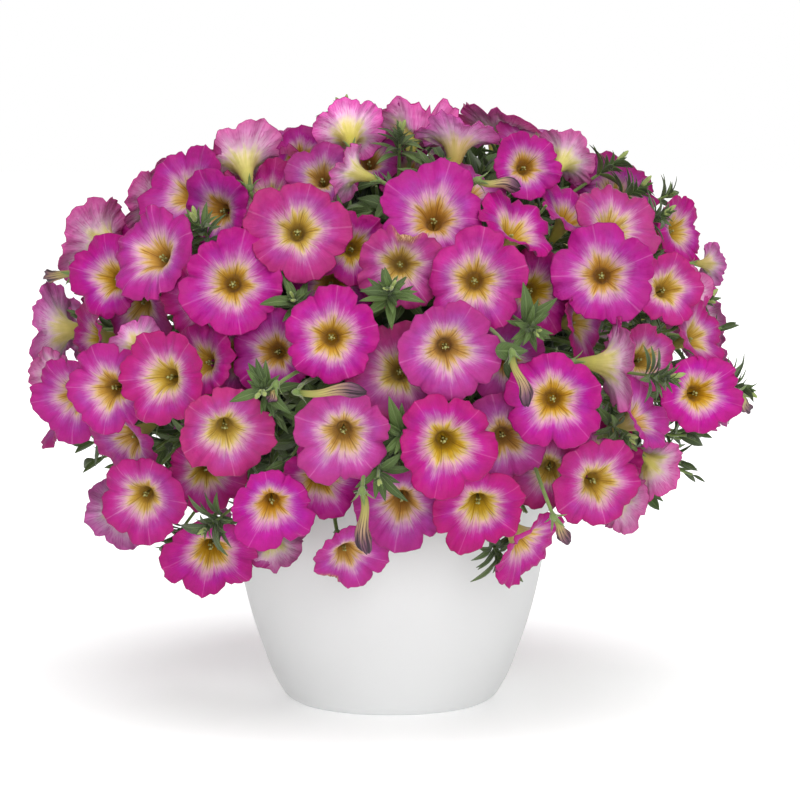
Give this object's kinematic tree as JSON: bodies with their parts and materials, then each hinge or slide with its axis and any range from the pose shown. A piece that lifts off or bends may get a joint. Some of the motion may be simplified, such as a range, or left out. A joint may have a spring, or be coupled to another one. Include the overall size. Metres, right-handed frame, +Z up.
{
  "type": "potted petunia",
  "caption": "Flowering petunia in a plain round white pot: a dome of pink trumpet blooms with pale stars and yellow throats over small green leaves.",
  "frame": {"origin": "centre of the pot's flat base, on the ground", "axes": "+Z up along the pot's axis; the side that the picture shows faces -Y; +X is to the right in it"},
  "size_m": [0.423, 0.4299, 0.3649],
  "materials": {
    "pot": "satin",
    "soil": "matte",
    "foliage": "matte",
    "petal": "satin"
  },
  "bodies": {
    "root": {"pot": "pot", "soil": "soil", "foliage": "foliage", "spray_01": "petal", "spray_02": "petal", "spray_03": "petal", "spray_04": "petal", "spray_05": "petal", "spray_06": "petal", "spray_07": "petal", "spray_08": "petal", "spray_09": "petal", "spray_10": "petal", "spray_11": "petal", "spray_12": "petal", "spray_13": "petal", "spray_14": "petal", "spray_15": "petal", "spray_16": "petal", "spray_17": "petal", "spray_18": "petal", "spray_19": "petal", "spray_20": "petal", "spray_21": "petal", "spray_22": "petal", "spray_23": "petal", "spray_24": "petal", "spray_25": "petal", "spray_26": "petal", "spray_27": "petal", "spray_28": "petal", "spray_29": "petal", "spray_30": "petal", "spray_31": "petal", "spray_32": "petal", "spray_33": "petal", "spray_34": "petal", "spray_35": "petal", "spray_36": "petal", "spray_37": "petal", "spray_38": "petal", "spray_39": "petal", "spray_40": "petal", "spray_41": "petal", "spray_42": "petal", "spray_43": "petal", "spray_44": "petal", "spray_45": "petal", "spray_46": "petal", "spray_47": "petal", "spray_48": "petal", "spray_49": "petal", "spray_50": "petal", "spray_51": "petal"}
  },
  "joints": []
}
